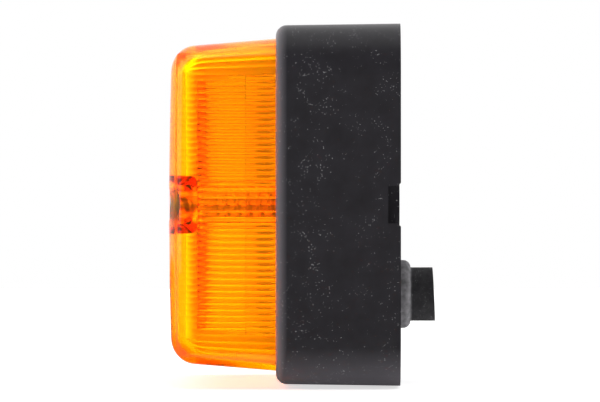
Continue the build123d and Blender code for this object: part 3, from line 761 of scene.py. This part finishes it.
@dataclass
class AmberLens:
    """The amber cap: drafted walls, round edge, crowned front, fluted inside, with a screw well at each end.

    Sizes are in millimetres and angles in degrees. A depth is measured out from the panel, and an inset in
    from the outline at the rim. A frost is a share of the full etching.
    """

    # Walls and front
    corner: float = 5.9125
    rim: float = 20.6
    draft: float = 4.8
    wall: float = 2.2
    crown: float = 0.55
    edge_radius: float = 4.5
    edge_steps: int = 12
    inner_edge_radius: float = 4.5
    inner_edge_steps: int = 10
    overlap: float = 0.2
    outline_step: float = 2.4
    corner_step: float = 0.4
    long_steps: int = 24
    # Thicker band round the foot of the short ends
    band_low: float = 18.4
    band_high: float = 25.5
    band_extra: float = 0.8
    band_fade: float = 5.0
    band_step: float = 0.05
    # Flutes of the inner face
    flute_pitch: float = 1.02
    flute_depth: float = 0.16
    flute_steps: int = 8
    corner_flute_radius: float = 3.13
    # How the flutes change round the inner edge, given in shares of the way round it
    fade_share: float = 0.6
    edge_swell: float = 0.8
    swell_share: float = 0.45
    edge_calm: float = 0.85
    calm_start: float = 0.2
    calm_span: float = 0.25
    # Screw wells, with a solid block under each and a tower under that
    screw_inset: float = 7.9
    well_radius: float = 4.0
    well_depth: float = 2.3
    well_bevel: float = 0.2
    well_over: float = 1.0
    block_radius: float = 4.75
    block_floor: float = 2.55
    block_round: float = 1.2
    block_steps: int = 48
    round_steps: int = 6
    tower_radius: float = 3.3
    tower_low: float = 18.0
    hole_radius: float = 2.3
    # Making of the mesh
    spare: float = 1.2
    merge: float = 0.001
    sharp_angle: float = 32.0
    # Frost
    wall_frost: float = 0.1
    edge_frost: float = 0.7
    corner_frost: float = 0.65
    well_frost: float = 0.5
    frost_depth: float = 0.9
    frost_bend: float = 0.6
    block_margin: float = 0.2
    well_margin: float = 0.05
    # Read from the CAD solid
    half_length: float = field(init=False)
    half_height: float = field(init=False)
    seat: float = field(init=False)
    front: float = field(init=False)

    def __post_init__(self) -> None:
        """Reads the outside of the lens from its CAD solid."""
        low, high = (np.array(corner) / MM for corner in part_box("lens"))
        self.half_length, self.half_height = high[0], high[2]
        self.seat, self.front = -high[1], -low[1]

    def lean(self, depth: Any) -> Any:
        """How far the draft brings the wall in at a depth, counted from the rim."""
        return (depth - self.rim) * math.tan(math.radians(self.draft))

    def crown_drop(self, height: np.ndarray) -> np.ndarray:
        """How far the crowned front falls back at a height: its square over twice the crown's radius."""
        return height**2 * self.crown / (self.half_height**2 + self.crown**2)

    def around(self, step: float, corner_step: float) -> dict[str, np.ndarray]:
        """Places round the outline: points on the inner rectangle, ways out from it, and distances along.

        Args:
            step: spacing along the short ends.
            corner_step: spacing along the corners, measured at corner_flute_radius.
        Returns:
            Arrays core_x, core_z, out_x, out_z and along, the distance from the middle of a short end, which
            is -1 on the long sides.
        """
        x, z = self.half_length - self.corner, self.half_height - self.corner
        rise = np.arange(-math.floor(z / step), math.floor(z / step) + 1) * step
        rise = np.concatenate([[-z], rise, [z]])
        count = math.floor(math.pi / 2 * self.corner_flute_radius / corner_step)
        arc = z + np.arange(1, count + 1) * corner_step
        angle = np.minimum((arc - z) / self.corner_flute_radius, math.pi / 2)
        run = np.linspace(x, -x, self.long_steps + 1)
        full = np.ones_like
        end = [full(rise) * x, rise, full(rise), rise * 0, abs(rise)]
        bend = [full(arc) * x, full(arc) * z, np.cos(angle), np.sin(angle), arc]
        top = [run, full(run) * z, run * 0, full(run), full(run) * -1]
        back = [full(arc) * -x, full(arc) * z, -np.cos(angle[::-1]), np.sin(angle[::-1]), arc[::-1]]
        half = [np.concatenate(parts) for parts in zip(end, bend, top, back)]
        other_half = [-half[0], -half[1], -half[2], -half[3], half[4]]
        ring = [np.concatenate(parts) for parts in zip(half, other_half)]
        return dict(zip(("core_x", "core_z", "out_x", "out_z", "along"), ring))

    def profile(self, inset: float, front: float, radius: float, steps: int) -> np.ndarray:
        """The section of a round edge: an arc that is tangent to the drafted wall and to the flat front.

        Args:
            inset: how far the wall lies inside the outer one.
            front: depth of the flat front.
            radius: radius of the round edge.
            steps: steps along the arc.
        Returns:
            Rows of (inset, depth, slope angle, share of the way round the edge, 0), the last on the front.
        """
        slope = math.radians(self.draft)
        middle_depth = front - radius
        middle = inset + self.lean(middle_depth) + radius / math.cos(slope)
        angle = np.linspace(slope, math.pi / 2, steps + 1)
        share = np.linspace(0, 1, steps + 1)
        across, up = middle - radius * np.cos(angle), middle_depth + radius * np.sin(angle)
        arc = np.stack([across, up, angle, share, share * 0], axis=1)
        return np.concatenate([arc, [[max(self.corner, middle) + self.overlap, front, math.pi / 2, 1, 0]]])

    def flute(self, along: np.ndarray) -> np.ndarray:
        """Height of the round flutes at a distance along: a parabola between cusps, none where it is -1."""
        phase = np.mod(along / self.flute_pitch, 1.0)
        return np.where(along < 0, 0.0, self.flute_depth * (1 - (2 * phase - 1) ** 2))

    def fade(self, end: np.ndarray, height: np.ndarray) -> np.ndarray:
        """Share of the flutes that is left on the front at a height, none past the end of its flat part."""
        return np.clip((end - np.abs(height)) / self.flute_pitch, 0, 1)

    def ripple(
        self, ring: dict[str, np.ndarray], on_end: np.ndarray, share: np.ndarray, end: np.ndarray
    ) -> np.ndarray:
        """How far the flutes stand out from the inner face, by row and place.

        Round the edge they fade out past the flat part of the front, swell on the first part of the way and
        calm down on the next.

        Args:
            ring: places round the outline.
            on_end: whether each place lies on a short end.
            share: share of the way round the edge, by row.
            end: half the height of the front's flat part.
        Returns:
            Heights of the flutes.
        """
        kept = np.minimum(share / self.fade_share, 1)
        left = np.where(on_end, self.fade(end, ring["core_z"]), 0)
        swell = 1 + self.edge_swell * np.sin(np.pi * np.minimum(share / self.swell_share, 1))
        calm = 1 - self.edge_calm * np.clip((share - self.calm_start) / self.calm_span, 0, 1)
        return self.flute(ring["along"]) * (1 - kept + kept * left) * swell * calm

    def shell(
        self, name: str, rows: np.ndarray, ring: dict[str, np.ndarray], fluted: bool
    ) -> bpy.types.Object:
        """A closed solid: the outline set in row by row, and a grid over its front.

        Each point is core + (corner - inset) * out, at its row's depth. Where the inset is past the corner's
        radius, the core itself shrinks. The extra inset is for the short ends and fades out towards the
        corners. Flutes move a point along the inward normal, (cos, -sin) of the row's slope angle.

        Args:
            name: the solid's name.
            rows: rows of (inset, depth, slope angle, share of the way round the edge, extra inset).
            ring: places round the outline.
            fluted: True for the inside, which has flutes and no crown.
        Returns:
            The solid.
        """
        inset, depth, angle, share, extra = np.hsplit(rows, 5)
        on_end = np.isclose(np.abs(ring["out_x"]), 1)
        past = np.maximum(inset - self.corner, 0)
        side_x = self.half_length - self.corner - past
        side_z = self.half_height - self.corner - past
        core_x = np.clip(ring["core_x"], -side_x, side_x)
        core_z = np.clip(ring["core_z"], -side_z, side_z)
        from_corner = np.where(on_end, self.half_height - self.corner - np.abs(ring["core_z"]), 0)
        reach = self.corner - inset - extra * np.clip(from_corner / self.band_fade, 0, 1)
        ripple = self.ripple(ring, on_end, share, side_z[-1]) if fluted else share * 0
        reach = np.maximum(reach, 0) - ripple * np.cos(angle)
        z = core_z + reach * ring["out_z"]
        drop = ripple * np.sin(angle) if fluted else share * self.crown_drop(z)
        wall = upright(core_x + reach * ring["out_x"], z, depth - drop)
        run, rise = np.unique(core_x[-1].round(6)), np.unique(core_z[-1].round(6))
        run_grid, rise_grid = np.meshgrid(run, rise, indexing="ij")
        if fluted:
            dip = self.flute(np.abs(rise_grid)) * self.fade(side_z[-1], rise_grid) * (1 - self.edge_calm)
        else:
            dip = self.crown_drop(rise_grid)
        cover = upright(run_grid, rise_grid, rows[-1, 1] - dip)
        faces = grid_faces(len(rows), len(ring["along"]), True).tolist()
        faces += (grid_faces(len(run), len(rise), False) + len(wall)).tolist()
        faces.append(list(range(len(ring["along"])))[::-1])
        solid = put_mesh(name, np.concatenate([wall, cover]), faces)
        turn_outwards(solid, self.merge * MM)
        return solid

    def outside(self) -> bpy.types.Object:
        """The outer solid: straight foot, drafted wall, round edge and crowned front.

        Returns:
            The solid.
        """
        foot = [[0, self.seat, 0, 0, 0], [0, self.rim, 0, 0, 0]]
        rows = np.concatenate([foot, self.profile(0, self.front, self.edge_radius, self.edge_steps)])
        return self.shell("lens_outside", rows, self.around(self.outline_step, self.corner_step), False)

    def inside(self) -> bpy.types.Object:
        """The hollow: foot, a band of thicker ends, drafted wall, round edge and flat front, all fluted.

        Returns:
            The hollow as a solid.
        """
        drafted = self.wall + self.lean(self.band_high)
        foot = [
            [self.wall, self.seat - self.spare, 0, 1, 0],
            [self.wall, self.band_low, 0, 1, 0],
            [self.wall, self.band_low + self.band_step, 0, 0, self.band_extra],
            [self.wall, self.rim, 0, 0, self.band_extra],
            [drafted, self.band_high, 0, 0, self.band_extra],
            [drafted, self.band_high + self.band_step, 0, 0, 0],
        ]
        front = self.front - self.wall
        edge = self.profile(self.wall, front, self.inner_edge_radius, self.inner_edge_steps)
        step = self.flute_pitch / self.flute_steps
        return self.shell("lens_inside", np.concatenate([foot, edge]), self.around(step, step), True)

    def block(self, side: Side) -> bpy.types.Object:
        """The solid under a well: a half circle towards the middle, carried straight out past the end wall.

        Each row is the outline set in by r (1 - cos a) at a depth r (1 - sin a) above the bottom, so that
        the bottom edge is a quarter round of radius r, and the last row goes up into the front.

        Args:
            side: the end of the lamp.
        Returns:
            The solid.
        """
        turn = np.linspace(math.pi / 2, 3 * math.pi / 2, self.block_steps + 1)
        away = self.half_length - self.screw_inset
        angle = np.linspace(math.pi / 2, 0, self.round_steps + 1)[:, None]
        reach = self.block_radius - self.block_round * (1 - np.cos(angle))
        out = np.full((len(reach), 1), 2 * self.screw_inset)
        x = np.concatenate([reach * np.cos(turn), out, out], axis=1) + away
        z = np.concatenate([reach * np.sin(turn), -reach, reach], axis=1)
        low = self.front - self.well_depth - self.block_floor
        depth = low + self.block_round * (1 - np.sin(angle))
        x, z = np.concatenate([x, x[-1:]]), np.concatenate([z, z[-1:]])
        points = upright(side.value * x, z, np.concatenate([depth, [[self.front]]]))
        rows, count = x.shape
        faces = grid_faces(rows, count, True).tolist()
        faces += [list(range(count))[::-1], list(range((rows - 1) * count, rows * count))]
        return put_mesh("well_block", points, faces)

    def frost(self, mesh: bpy.types.Mesh) -> None:
        """Marks how far each point is etched, as the attribute frost.

        It is 1 on the inside of the front, edge_frost on the round inner edge, corner_frost below that in
        the corners, wall_frost on the other inner walls, well_frost in the wells, and 0 elsewhere. A point
        is inside where it lies more than half a wall within the outside, clear of the blocks.

        Args:
            mesh: the finished lens.
        """
        where = np.empty(3 * len(mesh.vertices), dtype=np.float32)
        mesh.vertices.foreach_get("co", where)
        x, y, z = (where.reshape(-1, 3) / MM).T
        depth, lean = -y, np.maximum(self.lean(-y), 0)
        from_end = self.half_length - lean - np.abs(x)
        from_side = self.half_height - lean - np.abs(z)
        from_axis = np.hypot(np.abs(x) - self.half_length + self.screw_inset, z)
        inner = np.minimum(from_end, from_side) > self.wall / 2
        inner &= depth < self.front - self.wall / 2
        inner &= from_axis > self.block_radius + self.block_margin
        flat = self.front - self.wall - self.frost_depth
        bend = self.front - self.wall - self.frost_bend * self.inner_edge_radius
        in_corner = np.maximum(from_end, from_side) < self.corner
        walls = np.where(in_corner, self.corner_frost, self.wall_frost)
        share = np.where(depth > flat, 1.0, np.where(depth > bend, self.edge_frost, walls)) * inner
        bottom = self.front - self.well_depth
        in_well = (from_axis < self.well_radius + self.well_margin) & (depth > bottom - self.well_margin)
        share = np.where(in_well, self.well_frost, share)
        layer = mesh.attributes.new("frost", "FLOAT", "POINT")
        layer.data.foreach_set("value", share.astype(np.float32))

    def build(self, material: bpy.types.Material) -> bpy.types.Object:
        """Makes the lens: the outside, less the hollow round the blocks and towers, less wells and holes.

        Args:
            material: the amber acrylic.
        Returns:
            The lens.
        """
        bottom = self.front - self.well_depth
        brim = bottom + self.well_bevel
        hollow = self.inside()
        solid = self.outside()
        for side in Side:
            x = side.value * (self.half_length - self.screw_inset)
            carve(hollow, self.block(side))
            tower = [(self.tower_radius, self.tower_low), (self.tower_radius, bottom)]
            carve(hollow, turned("tower", tower, x))
        carve(solid, hollow)
        for side in Side:
            x = side.value * (self.half_length - self.screw_inset)
            well = [(self.well_radius - self.well_bevel, bottom), (self.well_radius, brim)]
            carve(solid, turned("well", [*well, (self.well_radius, self.front + self.well_over)], x))
            hole = [(self.hole_radius, self.seat), (self.hole_radius, brim)]
            carve(solid, turned("screw_hole", hole, x))
        solid.name = "amber_lens"
        solid.data.polygons.foreach_set("use_smooth", np.full(len(solid.data.polygons), True))
        solid.data.set_sharp_from_angle(angle=math.radians(self.sharp_angle))
        self.frost(solid.data)
        solid.data.materials.clear()
        solid.data.materials.append(material)
        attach(solid, "root")
        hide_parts("lens")
        LOG.info("built amber_lens with %d faces", len(solid.data.polygons))
        return solid


@dataclass
class LensScrewThread:
    """The coarse thread on a lens screw's shank, in millimetres and degrees."""

    pitch: float = 1.87
    root: float = 1.5
    crest: float = 2.15
    root_half: float = 0.62
    crest_half: float = 0.1
    low: float = 10.2
    high: float = 35.6
    steps: int = 28
    sharp_angle: float = 40.0

    def build(self, side: Side, material: bpy.types.Material) -> bpy.types.Object:
        """Carries a blunt triangle up a helix: each corner's radius and depth, turned by the angle.

        Args:
            side: the end of the lamp.
            material: the zinc plate.
        Returns:
            The thread, which runs out into the shank over half a turn at each end.
        """
        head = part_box(f"lens_screw_{side.name.lower()}")
        x = (head[0][0] + head[1][0]) / 2 / MM
        turns = (self.high - self.low) / self.pitch
        turn = np.linspace(0, 2 * math.pi * turns, int(turns * self.steps))[:, None]
        ease = np.clip(np.minimum(turn, turn[-1] - turn) / math.pi, 0, 1)
        radius = np.array([self.root, self.crest, self.crest, self.root])
        radius = self.root + (radius - self.root) * ease
        rise = np.array([-self.root_half, -self.crest_half, self.crest_half, self.root_half])
        depth = self.low + self.pitch * turn / (2 * math.pi) + rise
        points = upright(x + radius * np.cos(turn), radius * np.sin(turn), depth)
        corners = len(rise)
        faces = grid_faces(len(turn), corners, True).tolist()
        faces += [list(range(corners))[::-1], list(range(len(points) - corners, len(points)))]
        thread = put_mesh(f"lens_screw_thread_{side.name.lower()}", points, faces)
        turn_outwards(thread)
        thread.data.set_sharp_from_angle(angle=math.radians(self.sharp_angle))
        thread.data.materials.append(material)
        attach(thread, "root")
        LOG.info("built %s", thread.name)
        return thread


def dress_cad_nodes(materials: dict[str, bpy.types.Material]) -> None:
    """Gives each CAD node the finish of its slot.

    Args:
        materials: the materials by slot.
    """
    slots = {part["node"]: part["material_slot"] for part in frame["record"]["subparts"]}
    for name, node in frame["nodes"].items():
        node.data.materials.clear()
        node.data.materials.append(materials[slots[name]])
        LOG.info("dressed %s in %s", name, slots[name])


def main() -> None:
    """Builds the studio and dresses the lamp."""
    logging.basicConfig(level=logging.INFO, format="%(message)s")
    PhotoStudio().set_up()
    materials = finishes()
    dress_cad_nodes(materials)
    AmberLens().build(materials["amber_lens"])
    for side in Side:
        LensScrewThread().build(side, materials["zinc_steel"])


if __name__ == "__main__":
    main()
